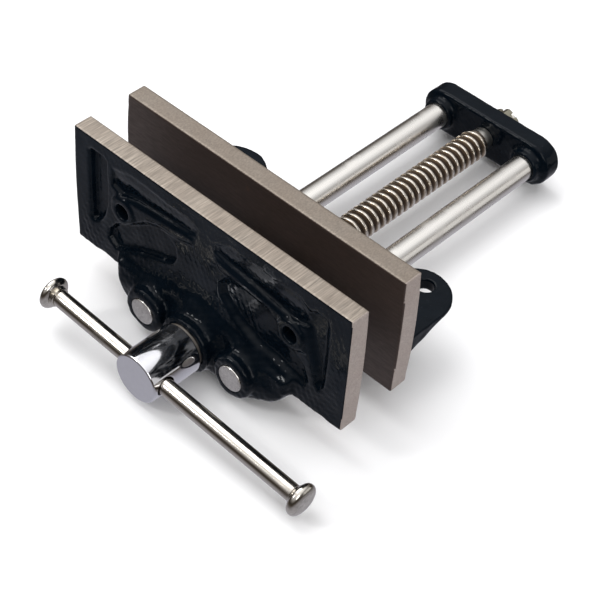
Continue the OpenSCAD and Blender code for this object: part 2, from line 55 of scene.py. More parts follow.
# ---- sizes of the vise, in millimetres, in the frame's own axes: X right, Y back, Z up ----
TOP, BOTTOM, AXIS = 57.0, -13.8, -16.7
HALF = 89.0
FACE, CLAMP = -88.5, -78.0
FRONT_THICK = CLAMP - FACE
REAR_CLAMP, REAR_BACK = -54.2, -43.5
BEARING_END = -22.5
JAW_EDGE_R = 0.55
BAR_X, BAR_R, BAR_START, BAR_END = 30.0, 7.15, -100.9, 137.5
BAR_BORE, BAR_BOSS_R = 7.2, 11.9
SCREW_BORE = 9.1
PAD_X, PAD_Z, REAR_HOLE_Z, PAD_HOLE_R = 55.2, 24.6, 19.0, 4.3
LUG_X, LUG_Y, LUG_R = 62.5, -7.8, 18.3
TIE_FRONT, TIE_BACK = 125.4, 137.1
HEAD_FRONT, HEAD_LENGTH, HEAD_R = -132.7, 29.8, 13.2
HANDLE_Y, HANDLE_LEFT, HANDLE_RIGHT, ROD_R = -125.0, -61.5, 95.5, 4.4
SPIGOT_START, SPIGOT_R = -118.9, 7.1
TAIL_R, TAIL_END = 4.5, 149.1
NUT_FRONT, NUT_BACK, NUT_FLAT = 138.7, 146.7, 7.3
TILT = math.radians(2.9)
THREAD = dict(start=-80.8, end=122.4, pitch=4.6, root=6.5, crest=8.6)

# ---- camera: degrees round, above and rolled, then its place in metres and its lens ----
VIEW = (40.074, 45.262, 4.787)
CAMERA_PLACE = (0.39154, -0.48421, 0.57044)
LENS, SENSOR = 101.23, 36


def add_camera():
    az, el, roll = map(math.radians, VIEW)
    back = Vector((math.sin(az) * math.cos(el), -math.cos(az) * math.cos(el), math.sin(el)))
    right = Vector((math.cos(az), math.sin(az), 0))
    up = back.cross(right)
    x = math.cos(roll) * right + math.sin(roll) * up
    y = -math.sin(roll) * right + math.cos(roll) * up
    cam = bpy.data.objects.new("camera", bpy.data.cameras.new("camera"))
    bpy.context.scene.collection.objects.link(cam)
    rot = Matrix((x, y, back)).transposed().to_4x4()
    cam.matrix_world = Matrix.Translation(CAMERA_PLACE) @ rot
    cam.data.sensor_width = SENSOR
    cam.data.lens = LENS
    cam.data.clip_start, cam.data.clip_end = 0.01, 100
    bpy.context.scene.camera = cam


# ---- signed distances: all work on grids and on lists of points alike ----


def smin(a, b, k):
    """Union of two distances with a fillet of about k."""
    h = np.maximum(k - np.abs(a - b), 0) / k
    return np.minimum(a, b) - h * h * k / 4


def smax(a, b, k):
    """Intersection of two distances with a rounded edge of about k."""
    return -smin(-a, -b, k)


def box(x, y, z, lo, hi, r=0.0):
    """Distance to a box between two corners, with its edges rounded by r."""
    q = [np.abs(v - (a + b) / 2) - (b - a) / 2 + r for v, a, b in zip((x, y, z), lo, hi)]
    out = np.sqrt(sum(np.maximum(v, 0) ** 2 for v in q))
    return out + np.minimum(np.maximum(np.maximum(q[0], q[1]), q[2]), 0) - r


def disc(x, z, cx, cz, r):
    return np.hypot(x - cx, z - cz) - r


def poly(x, z, pts):
    """Distance to a closed outline in two dimensions, negative inside."""
    d = np.full(np.broadcast(x, z).shape, 1e9)
    sign = np.ones(d.shape)
    for (ax, az), (bx, bz) in zip(pts, pts[1:] + pts[:1]):
        ex, ez, wx, wz = bx - ax, bz - az, x - ax, z - az
        t = np.clip((wx * ex + wz * ez) / (ex * ex + ez * ez), 0, 1)
        d = np.minimum(d, (wx - ex * t) ** 2 + (wz - ez * t) ** 2)
        c1, c2, c3 = z >= az, z < bz, ex * wz > ez * wx
        flip = (c1 & c2 & c3) | (~c1 & ~c2 & ~c3)
        sign = np.where(flip, -sign, sign)
    return sign * np.sqrt(d)


def slab(d2, y, y0, y1, r=0.0):
    """An outline's distance d2 extruded along Y from y0 to y1, with rounded edges."""
    dy = np.abs(y - (y0 + y1) / 2) - (y1 - y0) / 2
    a, b = d2 + r, dy + r
    return np.hypot(np.maximum(a, 0), np.maximum(b, 0)) + np.minimum(np.maximum(a, b), 0) - r


def lumps(x, y, z, size, seed):
    """Smooth random field from -1 to 1, made of a few turned waves of about that size."""
    rng = np.random.default_rng(seed)
    out = 0
    for _ in range(7):
        v = rng.normal(size=3)
        v *= 2 * math.pi / (size * rng.uniform(0.7, 1.5) * np.linalg.norm(v))
        out = out + np.sin(x * v[0] + y * v[1] + z * v[2] + rng.uniform(0, 6.28))
    return out / 4


def surface(f, lo, hi, step):
    """Surface nets of f < 0 on a grid, then every vertex is moved onto the surface."""
    lo, hi = np.array(lo, float), np.array(hi, float)
    n = np.ceil((hi - lo) / step).astype(int) + 1
    ax = [lo[i] + step * np.arange(n[i]) for i in range(3)]
    v = f(ax[0][:, None, None], ax[1][None, :, None], ax[2][None, None, :])
    v = np.broadcast_to(v, n).astype(np.float32)
    neg = v < 0
    m = tuple(n - 1)

    def corner(a, o):
        return a[o[0]:o[0] + m[0], o[1]:o[1] + m[1], o[2]:o[2] + m[2]]

    offs = [(i, j, k) for i in (0, 1) for j in (0, 1) for k in (0, 1)]
    count = sum(corner(neg, o).astype(np.int8) for o in offs)
    active = (count > 0) & (count < 8)
    index = np.full(m, -1, np.int64)
    cells = np.argwhere(active)
    index[active] = np.arange(len(cells))
    total, hits = np.zeros((len(cells), 3)), np.zeros(len(cells))
    for axis in range(3):
        for o in [o for o in offs if o[axis] == 0]:
            e = list(o)
            e[axis] = 1
            a, b = corner(v, o)[active], corner(v, tuple(e))[active]
            cross = (a < 0) != (b < 0)
            t = np.where(cross, a / np.where(cross, a - b, 1), 0)
            p = np.tile(np.array(o, float), (len(cells), 1))
            p[:, axis] = t
            total += p * cross[:, None]
            hits += cross
    pts = lo + step * (cells + total / hits[:, None])
    quads = []
    for axis in range(3):
        u, w = (axis + 1) % 3, (axis + 2) % 3
        sl = [slice(1, -1)] * 3
        sl[axis] = slice(0, n[axis] - 1)
        nxt = list(sl)
        nxt[axis] = slice(1, n[axis])
        a, b = neg[tuple(sl)], neg[tuple(nxt)]
        at = np.argwhere(a != b)
        out = a[tuple(at.T)]
        at[:, u] += 1
        at[:, w] += 1
        ring = []
        for du, dw in ((0, 0), (-1, 0), (-1, -1), (0, -1)):
            c = at.copy()
            c[:, u] += du
            c[:, w] += dw
            ring.append(index[tuple(c.T)])
        q = np.stack(ring, 1)
        q[~out] = q[~out][:, ::-1]
        quads.append(q)
    quads = np.concatenate(quads)
    for _ in range(3):
        d, g = gradient(f, pts, 0.02)
        move = d[:, None] * g / np.maximum((g * g).sum(1), 0.05)[:, None]
        size = np.linalg.norm(move, axis=1)
        pts -= move * np.minimum(1, 0.5 * step / np.maximum(size, 1e-9))[:, None]
    return pts, quads


def gradient(f, p, eps):
    """The values of f at the points p, and its slopes over steps of eps."""
    g = np.empty_like(p)
    for i in range(3):
        e = np.zeros(3)
        e[i] = eps
        g[:, i] = (f(*(p + e).T) - f(*(p - e).T)) / (2 * eps)
    return f(*p.T), g


def add_mesh(name, pts, faces, materials, pick=None, normals=None):
    """A mesh object from points in millimetres; pick(centre, normal) gives each face its material."""
    me = bpy.data.meshes.new(name)
    me.from_pydata(np.asarray(pts) * MM, [], [list(map(int, f)) for f in faces])
    me.validate()
    for m in materials:
        me.materials.append(m)
    me.shade_smooth()
    if pick is not None:
        c = np.empty(len(me.polygons) * 3)
        no = np.empty(len(me.polygons) * 3)
        me.polygons.foreach_get("center", c)
        me.polygons.foreach_get("normal", no)
        which = pick(c.reshape(-1, 3) / MM, no.reshape(-1, 3)).astype(np.int32)
        me.polygons.foreach_set("material_index", which)
    if normals is not None:
        me.normals_split_custom_set_from_vertices(normals)
    ob = bpy.data.objects.new(name, me)
    bpy.context.scene.collection.objects.link(ob)
    return ob


def solid(name, f, lo, hi, step, materials, pick=None, true_normals=False):
    """The mesh of a signed distance f; true_normals shades it by the distance's own slopes."""
    pts, quads = surface(f, lo, hi, step)
    normals = None
    if true_normals:
        g = gradient(f, pts, 0.03)[1]
        normals = g / np.linalg.norm(g, axis=1)[:, None]
    return add_mesh(name, pts, quads, materials, pick, normals=normals)


# ---- materials ----


class Mat:
    """Short names for the nodes of one procedural material."""

    def __init__(self, name, **sockets):
        self.mat = bpy.data.materials.new(name)
        self.mat.use_nodes = True
        self.nt = self.mat.node_tree
        self.bsdf = self.nt.nodes["Principled BSDF"]
        self.obj = self.node("ShaderNodeTexCoord").outputs["Object"]
        for k, v in sockets.items():
            self.bsdf.inputs[k.replace("_", " ")].default_value = v

    def node(self, kind, **props):
        n = self.nt.nodes.new(kind)
        for k, v in props.items():
            setattr(n, k, v)
        return n

    def put(self, socket, value):
        if isinstance(value, bpy.types.NodeSocket):
            self.nt.links.new(value, socket)
        else:
            socket.default_value = value

    def scaled(self, scale):
        n = self.node("ShaderNodeMapping")
        self.put(n.inputs["Vector"], self.obj)
        n.inputs["Scale"].default_value = scale
        return n.outputs[0]

    def noise(self, scale, detail=2, rough=0.5, vec=None, distortion=0):
        n = self.node("ShaderNodeTexNoise")
        self.put(n.inputs["Vector"], vec or self.obj)
        n.inputs["Scale"].default_value = scale
        n.inputs["Detail"].default_value = detail
        n.inputs["Roughness"].default_value = rough
        n.inputs["Distortion"].default_value = distortion
        return n.outputs["Fac"]

    def cells(self, scale):
        n = self.node("ShaderNodeTexVoronoi")
        self.put(n.inputs["Vector"], self.obj)
        n.inputs["Scale"].default_value = scale
        return n.outputs["Distance"]

    def ramp(self, fac, *stops):
        n = self.node("ShaderNodeValToRGB")
        self.put(n.inputs["Fac"], fac)
        el = n.color_ramp.elements
        while len(el) < len(stops):
            el.new(0.5)
        for e, (p, c) in zip(el, stops):
            e.position = p
            e.color = (c, c, c, 1) if isinstance(c, (int, float)) else (*c, 1)
        return n.outputs["Color"]

    def math(self, op, a, b=0.0, clamp=False):
        n = self.node("ShaderNodeMath", operation=op, use_clamp=clamp)
        self.put(n.inputs[0], a)
        self.put(n.inputs[1], b)
        return n.outputs[0]

    def mix(self, fac, a, b):
        n = self.node("ShaderNodeMix", data_type="RGBA")
        self.put(n.inputs[0], fac)
        self.put(n.inputs[6], a if isinstance(a, bpy.types.NodeSocket) else (*a, 1))
        self.put(n.inputs[7], b if isinstance(b, bpy.types.NodeSocket) else (*b, 1))
        return n.outputs[2]

    def axis(self, i):
        n = self.node("ShaderNodeSeparateXYZ")
        self.put(n.inputs[0], self.obj)
        return n.outputs[i]

    def bump(self, height, distance, after=None):
        n = self.node("ShaderNodeBump")
        self.put(n.inputs["Height"], height)
        n.inputs["Distance"].default_value = distance
        n.inputs["Strength"].default_value = 1.0
        if after is not None:
            self.put(n.inputs["Normal"], after)
        return n.outputs[0]

    def set(self, **links):
        for k, v in links.items():
            self.put(self.bsdf.inputs[k.replace("_", " ")], v)
        return self.mat


def enamel():
    """Thick dark blue paint: clouds, a dull film and dust over orange peel, runs and pits."""
    m = Mat("enamel", Metallic=0.0, Specular_IOR_Level=0.10)
    cloud = m.noise(38, 4, 0.6)
    colour = m.ramp(cloud, (0.3, (0.0008, 0.0024, 0.0046)), (0.7, (0.0022, 0.0046, 0.0080)))
    dust = m.ramp(m.noise(520, 5, 0.65), (0.62, 0.0), (0.76, 1.0))
    film = m.ramp(m.noise(26, 5, 0.7), (0.50, 0.0), (0.80, 1.0))
    colour = m.mix(m.math("MULTIPLY", dust, 0.3), colour, (0.030, 0.036, 0.046))
    colour = m.mix(m.math("MULTIPLY", film, 0.2), colour, (0.008, 0.012, 0.018))
    rough = m.ramp(m.noise(90, 4, 0.6), (0.35, 0.07), (0.7, 0.20))
    rough = m.math("ADD", rough, m.math("MULTIPLY", dust, 0.2))
    peel = m.bump(m.noise(260, 2, 0.4), 0.00004)
    runs = m.bump(m.noise(75, 2, 0.45, m.scaled((1, 1, 0.6)), 0.3), 0.00020, peel)
    pits = m.bump(m.ramp(m.cells(250), (0.03, 0.0), (0.14, 1.0)), 0.00004, runs)
    grain = m.bump(m.noise(1500, 4, 0.6), 0.000006, pits)
    return m.set(Base_Color=colour, Roughness=rough, Normal=grain)


def bare_iron(name, across, tint, depth=1.0, contrast=1.0):
    """Machined cast iron; across is the mapping scale that draws out the cutter marks."""
    m = Mat(name, Metallic=0.4)
    marks = m.noise(1500, 3, 0.65, m.scaled(across))
    broad = m.noise(420, 3, 0.6, m.scaled(across))
    cloud = m.noise(60, 4, 0.6)
    speck = m.ramp(m.noise(900, 3, 0.7), (0.66, 0.0), (0.74, 1.0))
    rust = m.ramp(m.noise(75, 5, 0.75), (0.69, 0.0), (0.75, 1.0))
    t = np.array(tint)
    colour = m.ramp(marks, (0.28, tuple(t * (1 - 0.45 * contrast))), (0.5, tuple(t)),
                    (0.72, tuple(t * (1 + 0.6 * contrast))))
    colour = m.mix(m.ramp(broad, (0.4, 0.0), (0.7, 0.3)), colour, tuple(t * 0.66))
    colour = m.mix(m.ramp(cloud, (0.3, 0.0), (0.75, 0.4)), colour, tuple(t * (0.84, 0.76, 0.70)))
    colour = m.mix(m.math("MULTIPLY", speck, 0.6), colour, (0.045, 0.034, 0.026))
    colour = m.mix(m.math("MULTIPLY", rust, 0.7), colour, (0.120, 0.060, 0.030))
    rough = m.ramp(marks, (0.3, 0.52), (0.7, 0.36))
    lines = m.bump(marks, 0.00004 * depth)
    waves = m.bump(broad, 0.00004 * depth, lines)
    return m.set(Base_Color=colour, Roughness=rough, Normal=waves)


def thread_steel():
    """Steel that is bright on the thread's crests and dark brown in its roots, partly from old grease and
    partly as painted shade.
    """
    m = Mat("screw_steel")
    depth = THREAD["crest"] - THREAD["root"]
    x, z = m.axis(0), m.math("SUBTRACT", m.axis(2), AXIS * MM)
    radius = m.math("SQRT", m.math("ADD", m.math("MULTIPLY", x, x), m.math("MULTIPLY", z, z)))
    height = m.math("MULTIPLY", m.math("SUBTRACT", radius, THREAD["root"] * MM), 1 / (depth * MM))
    wander = m.math("MULTIPLY", m.math("SUBTRACT", m.noise(420, 4, 0.65), 0.5), 0.7)
    level = m.math("ADD", height, wander, True)
    # the colour darkens towards the roots: partly old grease, partly painted shade of the thread's grooves
    colour = m.ramp(level, (0.0, (0.030, 0.019, 0.012)), (0.35, (0.10, 0.068, 0.045)),
                    (0.68, (0.26, 0.20, 0.145)), (0.92, (0.52, 0.455, 0.37)), (1.0, (0.74, 0.69, 0.62)))
    gloss = m.ramp(level, (0.1, 0.55), (0.9, 0.20))
    shine = m.ramp(level, (0.1, 0.35), (0.75, 1.0))
    grain = m.bump(m.noise(1200, 4, 0.6), 0.00004)
    return m.set(Base_Color=colour, Roughness=gloss, Metallic=shine, Normal=grain)


def metal(name, colour, rough=(0.08, 0.2), scratch=(1, 1, 1), dirt=0.2, dirt_colour=(0.10, 0.07, 0.045),
          bump=0.00002, vary=0.12):
    """Bright metal with drawn scratches along one axis and a little dull staining."""
    m = Mat(name, Metallic=1.0)
    lines = m.noise(1500, 3, 0.6, m.scaled(scratch))
    cloud = m.noise(60, 5, 0.65)
    stain = m.ramp(cloud, (0.50, 0.0), (0.75, 1.0))
    c = np.array(colour)
    base = m.ramp(lines, (0.3, tuple(c * (1 - vary))), (0.7, tuple(c * (1 + 0.7 * vary))))
    base = m.mix(m.math("MULTIPLY", stain, dirt), base, dirt_colour)
    r = m.ramp(lines, (0.3, rough[1]), (0.7, rough[0]))
    r = m.math("ADD", r, m.math("MULTIPLY", stain, 0.2))
    return m.set(Base_Color=base, Roughness=r, Normal=m.bump(lines, bump))


MATS = {
    "enamel": enamel(),
    "iron_top": bare_iron("iron_top", (1, 0.05, 0.05), (0.265, 0.228, 0.190)),
    "iron_rear": bare_iron("iron_rear", (0.9, 0.5, 0.5), (0.215, 0.182, 0.150), 0.8, 0.5),
    "iron_end": bare_iron("iron_end", (1, 1, 1), (0.40, 0.345, 0.315), 0.6, 0.4),
    # the clamping faces' dark brown tint is painted shade of the gap between the jaws, partly oil
    "iron_clamp_painted_shade": bare_iron("iron_clamp_painted_shade", (0.12, 0.6, 0.6), (0.060, 0.041, 0.034), 0.6, 0.35),
    "bar": metal("bar_chrome", (0.80, 0.775, 0.735), (0.22, 0.25), (1, 0.02, 1), 0.02, bump=0.0000003,
                 vary=0.03),
    "chrome": metal("head_chrome", (0.70, 0.70, 0.73), (0.05, 0.07), (0.3, 0.3, 0.3), 0.02, bump=0.0000006,
                    vary=0.02),
    "nickel": metal("rod_nickel", (0.56, 0.525, 0.475), (0.10, 0.20), (0.02, 1, 1), 0.3, bump=0.00001),
    "screw": thread_steel(),
    "screw_plain": metal("screw_plain", (0.60, 0.58, 0.54), (0.2, 0.35), (0.3, 0.3, 0.3), 0.2),
    "bar_end": metal("bar_end", (0.62, 0.60, 0.57), (0.3, 0.45), (1, 1, 1), 0.6, (0.14, 0.125, 0.11),
                     bump=0.00006, vary=0.25),
    "knob": metal("knob_nickel", (0.58, 0.55, 0.50), (0.08, 0.16), (0.3, 0.3, 0.3), 0.3, bump=0.000006),
    "zinc": metal("zinc_nut", (0.34, 0.32, 0.25), (0.3, 0.42), (1, 1, 1), 0.6),
    "pin": metal("dark_pin", (0.25, 0.25, 0.26), (0.3, 0.45), (1, 1, 1), 0.4),
    "nut": metal("nut_iron", (0.32, 0.29, 0.26), (0.4, 0.55), (1, 1, 1), 0.5),
}

# each CAD node's material, seen where no detailed piece replaces the node
by_node = {
    "rear_jaw": "enamel", "front_jaw": "enamel", "tie_plate": "enamel", "main_nut": "nut", "nut_pin": "pin",
    "left_guide_bar": "bar", "right_guide_bar": "bar", "guide_bar_front_pins": "pin",
    "guide_bar_rear_pins": "pin", "lead_screw": "screw", "screw_head": "chrome", "head_pin": "pin",
    "front_thrust_washer": "nut", "rear_thrust_washer": "zinc", "retaining_ring": "pin",
    "tail_washer": "zinc", "tail_nut": "zinc", "split_pin": "zinc", "handle_rod": "nickel",
    "left_knob": "nickel", "right_knob": "nickel"}
for node, key in by_node.items():
    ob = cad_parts[node]
    ob.data.materials.clear()
    ob.data.materials.append(MATS[key])

# ---- castings: outlines are (x, height) points, on the front jaw measured down from its top edge ----


def mirrored(pts):
    return [(-px, pz) for px, pz in pts[::-1]]


def bowed(z, bow):
    """Half width of a jaw, whose ground ends are slightly convex."""
    return HALF + bow * np.clip(1 - ((z - 24) / 33) ** 2, 0, 1)


LEFT_CHANNEL = mirrored([(62, -11), (63, -21), (57, -23.5), (46, -20.5), (30, -18.6), (12, -16.4),
                         (7, -14.5), (6, -11.5), (10, -9.5), (50, -7.5)])
RIGHT_CHANNEL = [(7, -12), (6.5, -16), (14, -18.2), (30, -20.2), (56, -23.8), (64, -22), (66, -12),
                 (58, -7.5), (14, -8.5)]
LEFT_SLOT = [(-79, -9.5), (-77.5, -8), (-69.5, -8), (-67.8, -9.5), (-67.6, -36), (-69.5, -44), (-73.5, -50.5),
             (-77.5, -53.5), (-79, -52.5)]
RIGHT_SLOT = [(68, -10), (74.6, -10.5), (75.6, -14), (76, -30), (75.6, -52), (73.8, -54.5), (71.5, -52),
              (69.8, -43), (66.5, -33), (63.4, -24), (64, -13)]
LEFT_ARM = [(-62, -28), (-60, -24.6), (-52, -23.2), (-30, -20.4), (-12, -18), (-7, -18), (-8, -22),
            (-18, -25), (-32, -26), (-40, -29), (-47, -35.5), (-53, -39), (-59, -38)]
RIGHT_ARM = [(6, -19.4), (12, -20), (30, -22.2), (58, -25.4), (63, -31), (65, -38), (60, -40), (51, -38.6),
             (47, -31.5), (39, -27), (22, -25.8), (9, -25)]
LEFT_KIDNEY = [(-66.5, -57), (-66, -51.5), (-61.5, -45.5), (-54, -41), (-47, -36), (-40, -31), (-32, -28),
               (-25, -28.6), (-20.5, -32.5), (-19.4, -38), (-21.5, -43), (-27.5, -46.6), (-37, -49.6),
               (-47, -53.6), (-56, -59), (-62, -61.6)]
RIGHT_KIDNEY = [(10.5, -41), (9.6, -34), (13, -29.5), (22, -27.5), (38, -28.5), (45.5, -33), (48.5, -41),
                (56, -43), (63, -47), (66, -54), (64, -59.5), (50, -57.5), (35, -55), (20, -48.5)]


def pocket(body, x, v, w, outline, depth, draft, soft, rim):
    """Cuts a cast pocket whose walls draw in with depth; soft rounds its floor and rim its edge."""
    d2 = poly(x, w, outline) - 0.4
    cut = smax(d2 + draft * v, v - depth, soft)
    return smax(body, -cut, rim)


def skirt(above=(), datum=0.0):
    """The round-bottomed outline under a jaw plate, closed through the points above it."""
    half = [(57, -5), (56.5, -13), (54, -18), (50, -22), (44, -25.2), (37, -27.6), (30, -28.3), (14, -28.6)]
    half = [(px, pz - datum) for px, pz in half]
    return half + mirrored(half) + list(above)


def plate_relief(x, v, w):
    """The front face of the moving jaw; v is depth behind that face and w height below its top edge."""
    stretch = HALF / bowed(w + TOP, 0.8)
    body = box(x * stretch, v, w, (-HALF, 0, BOTTOM - TOP), (HALF, FRONT_THICK, 0), JAW_EDGE_R)
    # channels that deepen downwards to the wall of the arms
    deepen = 0.05 + 2.5 * np.clip((-8 - w) / 12, 0, 1) ** 1.2
    for channel in (LEFT_CHANNEL, RIGHT_CHANNEL):
        body = pocket(body, x, v, w, channel, deepen, 0.1, 1.2, 1.4)
    body = pocket(body, x, v, w, LEFT_SLOT, 4.2, 0.3, 1.6, 1.8)
    body = pocket(body, x, v, w, RIGHT_SLOT, 3.2, 0.45, 2.4, 2.4)
    for arm in (LEFT_ARM, RIGHT_ARM):
        body = smin(body, slab(poly(x, w, arm) + 1.2, v, -0.35, 4, 0.3), 2.4)
    for side in (-1, 1):
        body = smin(body, slab(disc(x, w, side * PAD_X, PAD_Z - TOP, 8.0), v, -1.6, 4, 1.0), 1.5)
    return body


def brow(x, v, w):
    """The swelling that leans out of the front jaw to its bosses, lower towards the sides."""
    side_drop = np.clip(np.abs(x) / 56, 0, 1)
    top = -46.5 - 12.5 * side_drop ** 1.5
    reach = 9.4 - 4.6 * np.clip((np.abs(x) - 28) / 26, 0, 1) ** 1.5
    lean = np.clip((top - w) / 18, 0, 1)
    lean = reach * lean * lean * (3 - 2 * lean)
    body = smax(-(v + lean), smax(w - top, -w - 84.6, 3.0), 3.0)
    body = smax(body, v - 9.5, 0.6)
    shoulders = [(-56, -56), (-30, -44), (30, -44), (56, -56)]
    return smax(body, poly(x, w, skirt(shoulders, TOP)), 3.0)


def front_jaw(x, y, z):
    """The moving casting: plate, skirt, brow, bosses and bores."""
    v, w = y - FACE, z - TOP
    aw = AXIS - TOP
    body = plate_relief(x, v, w)
    body = smin(body, slab(poly(x, w, skirt(datum=TOP)), v, -4.6, 9.9, 3.0), 4.0)
    body = smin(body, brow(x, v, w), 3.0)
    body = pocket(body, x, v, w, LEFT_KIDNEY, 3.6, 0.3, 2.0, 1.3)
    body = pocket(body, x, v, w, RIGHT_KIDNEY, 2.9, 0.45, 2.4, 1.8)
    # valleys from the screw boss up between the arms and the bar bosses
    for side in (-1, 1):
        dx, dw = side * x - 15.5, w - aw - 17
        valley = np.hypot(dx * 0.95 + dw * 0.5, (v + 13) * 0.9) - 7.2
        valley = smax(valley, np.abs(dw) - 17, 7.0)
        body = smax(body, -valley, 5.5)
    for side in (-1, 1):
        body = smin(body, slab(disc(x, w, side * BAR_X, aw, BAR_BOSS_R), v, -12.0, 8, 2.4), 2.2)
    body = smin(body, slab(disc(x, w, 0, aw, 15.0), v, -13.0, 8, 1.2), 2.6)
    # the cast skin is uneven, more so low down; the ground edges and the back stay true
    skin = np.clip((-w - 1.5) / 3, 0, 1) * np.clip((87.5 - np.abs(x)) / 3, 0, 1) * np.clip((7 - v) / 3, 0, 1)
    low = np.clip((-w - 38) / 16, 0, 1)
    coarse, fine = lumps(x, y, z, 9, 3), lumps(x, y, z, 3.4, 4)
    body = body + skin * ((0.10 + 0.16 * low) * coarse + (0.05 + 0.09 * low) * fine)
    for side in (-1, 1):
        body = np.maximum(body, -disc(x, w, side * BAR_X, aw, BAR_BORE))
        body = smax(body, -disc(x, z, side * PAD_X, PAD_Z, PAD_HOLE_R), 0.9)
    body = np.maximum(body, np.maximum(-disc(x, w, 0, aw, SCREW_BORE), v - FRONT_THICK + 0.04))
    return np.maximum(body, -slab(disc(x, w, 0, aw, 13.3), v, 2.9, 20))


def rear_jaw(x, y, z):
    """The fixed casting: plate, skirt, bearings and the flange with its two lugs."""
    stretch = HALF / bowed(z, 1.3)
    body = box(x * stretch, y, z, (-HALF, REAR_CLAMP, BOTTOM), (HALF, REAR_BACK, TOP), JAW_EDGE_R)
    body = smin(body, slab(poly(x, z, skirt()), y, REAR_CLAMP + 0.5, REAR_BACK - 0.5, 2.0), 1.0)
    boss_front = REAR_CLAMP + 3
    bosses = slab(disc(x, z, 0, AXIS, 16.6), y, boss_front, BEARING_END, 1.5)
    for side in (-1, 1):
        bearing = slab(disc(x, z, side * BAR_X, AXIS, BAR_BOSS_R), y, boss_front, BEARING_END, 1.5)
        bosses = smin(bosses, bearing, 4.0)
    bridge = box(x, y, z, (-BAR_X, REAR_BACK - 1, AXIS), (BAR_X, BEARING_END - 1, -1), 1.0)
    bosses = smin(bosses, bridge, 3.0)
    plan, boss = 1e9, 1e9
    for side in (-1, 1):
        cx = side * LUG_X
        root = np.maximum(y - LUG_Y, REAR_BACK - 2 - y)
        lug = np.minimum(disc(x, y, cx, LUG_Y, LUG_R), np.maximum(np.abs(x - cx) - LUG_R, root))
        plan = np.minimum(plan, lug)
        boss = np.minimum(boss, np.maximum(disc(x, y, cx, 0, 7.9), -7.2 - z))
    web = np.maximum(np.abs(x) - LUG_X, np.maximum(y + 24, REAR_BACK - 2 - y))
    plan = smin(plan, web, 8.0)
    # the flange's underside rises from the jaw to the thin tips of the lugs
    root_z, tip_z, rise_start, rise = BOTTOM + 0.2, -3.6, -37.5, 0.347
    under = np.clip(root_z + (y - rise_start) * rise, root_z, tip_z)
    flange = smax(plan, (under - z) * 0.945, 1.6)
    flange = smax(smin(flange, boss, 2.5), z, 1.2)
    cast = smin(smax(smin(bosses, flange, 4.0), z, 1.0), body, 3.0)
    # the fillets between the castings stay behind the jaw plate
    fade = np.clip((y - REAR_BACK + 3) / 3, 0, 1)
    body = body + fade * (np.minimum(cast, body) - body)
    lump = 0.14 * lumps(x, y, z, 9, 13) + 0.06 * lumps(x, y, z, 3.6, 14)
    body = body + np.clip((y - REAR_BACK - 1) / 3, 0, 1) * np.clip(-z + 0.5, 0.35, 1) * lump
    for side in (-1, 1):
        body = np.maximum(body, -disc(x, z, side * BAR_X, AXIS, BAR_R + 0.08))
        body = smax(body, -disc(x, y, side * LUG_X, 0, 4.5), 0.6)
        body = smax(body, -disc(x, z, side * PAD_X, REAR_HOLE_Z, PAD_HOLE_R), 0.6)
    # the bearings end flat, clear of the collars, and the clamping face stays plane
    body = np.maximum(body, np.minimum(np.minimum(y - BEARING_END, 42 - np.abs(x)), -6.0 - z))
    body = np.maximum(body, np.maximum(-disc(x, z, 0, AXIS, SCREW_BORE), REAR_CLAMP + 0.02 - y))
    return np.maximum(body, -slab(disc(x, z, 0, AXIS, 12.6), y, boss_front, 0))


def tie_plate(x, y, z):
    """The round-ended bar that ties the guide bars together behind the bench."""
    ends = np.hypot(np.maximum(np.abs(x) - BAR_X, 0), z - AXIS) - 13.0
    half = [(41.5, AXIS), (40.5, AXIS - 7), (35, AXIS - 12.7)]
    foot = half + mirrored(half)
    ends = smin(ends, poly(x, z, foot) + 0.3, 2.0)
    body = slab(ends, y, TIE_FRONT, TIE_BACK, 2.0)
    for side in (-1, 1):
        collar = slab(disc(x, z, side * BAR_X, AXIS, 9.2), y, TIE_FRONT - 4.8, TIE_FRONT + 5, 1.2)
        body = smin(body, collar, 3.6)
    body = body + 0.13 * lumps(x, y, z, 9, 23) + 0.06 * lumps(x, y, z, 3.4, 24)
    for side in (-1, 1):
        body = np.maximum(body, -disc(x, z, side * BAR_X, AXIS, BAR_BORE))
    return np.maximum(body, np.maximum(-disc(x, z, 0, AXIS, TAIL_R + 0.1), TIE_FRONT - 4.95 - y))


def bare_faces(c, n, clamp_side):
    """Which faces are ground bare: 1 the top edge, 2 the ends and corners below, 3 the clamping face."""
    lower_corners = 58
    out = np.zeros(len(c))
    out[(n[:, 2] > 0.5) & (c[:, 2] > TOP - 1.2)] = 1
    out[(np.abs(c[:, 0]) > HALF - 0.9) & (np.abs(n[:, 0]) > 0.5)] = 2
    out[(c[:, 2] < BOTTOM + 0.6) & (n[:, 2] < -0.6) & (np.abs(c[:, 0]) > lower_corners)] = 2
    # index 3, the clamping faces, takes the iron darkened as painted shade
    out[clamp_side & (np.abs(n[:, 1]) > 0.62)] = 3
    return out


def pick_front(c, n):
    return bare_faces(c, n, (c[:, 1] > CLAMP - 0.7) & (n[:, 1] > 0))


def pick_rear(c, n):
    return bare_faces(c, n, (c[:, 1] < REAR_CLAMP + 0.7) & (n[:, 1] < 0))


def add_castings():
    iron = [MATS[k] for k in ("enamel", "iron_top", "iron_end", "iron_clamp_painted_shade")]
    rear = [MATS[k] for k in ("enamel", "iron_rear", "iron_end", "iron_clamp_painted_shade")]
    step = 0.75
    ob = solid("front_jaw_casting", front_jaw, (-91, -104, -31), (91, -76, 59), step, iron, pick_front)
    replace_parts(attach(ob, "moving_jaw"), "front_jaw")
    ob = solid("rear_jaw_casting", rear_jaw, (-91, -56, -36), (91, 13, 59), step * 1.1, rear, pick_rear)
    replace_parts(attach(ob, "fixed_jaw"), "rear_jaw")
    ob = solid("tie_plate_casting", tie_plate, (-45, 118, -32), (45, 139, -1), step * 0.75, iron[:1])
    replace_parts(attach(ob, "moving_jaw"), "tie_plate")


# ---- turned parts ----


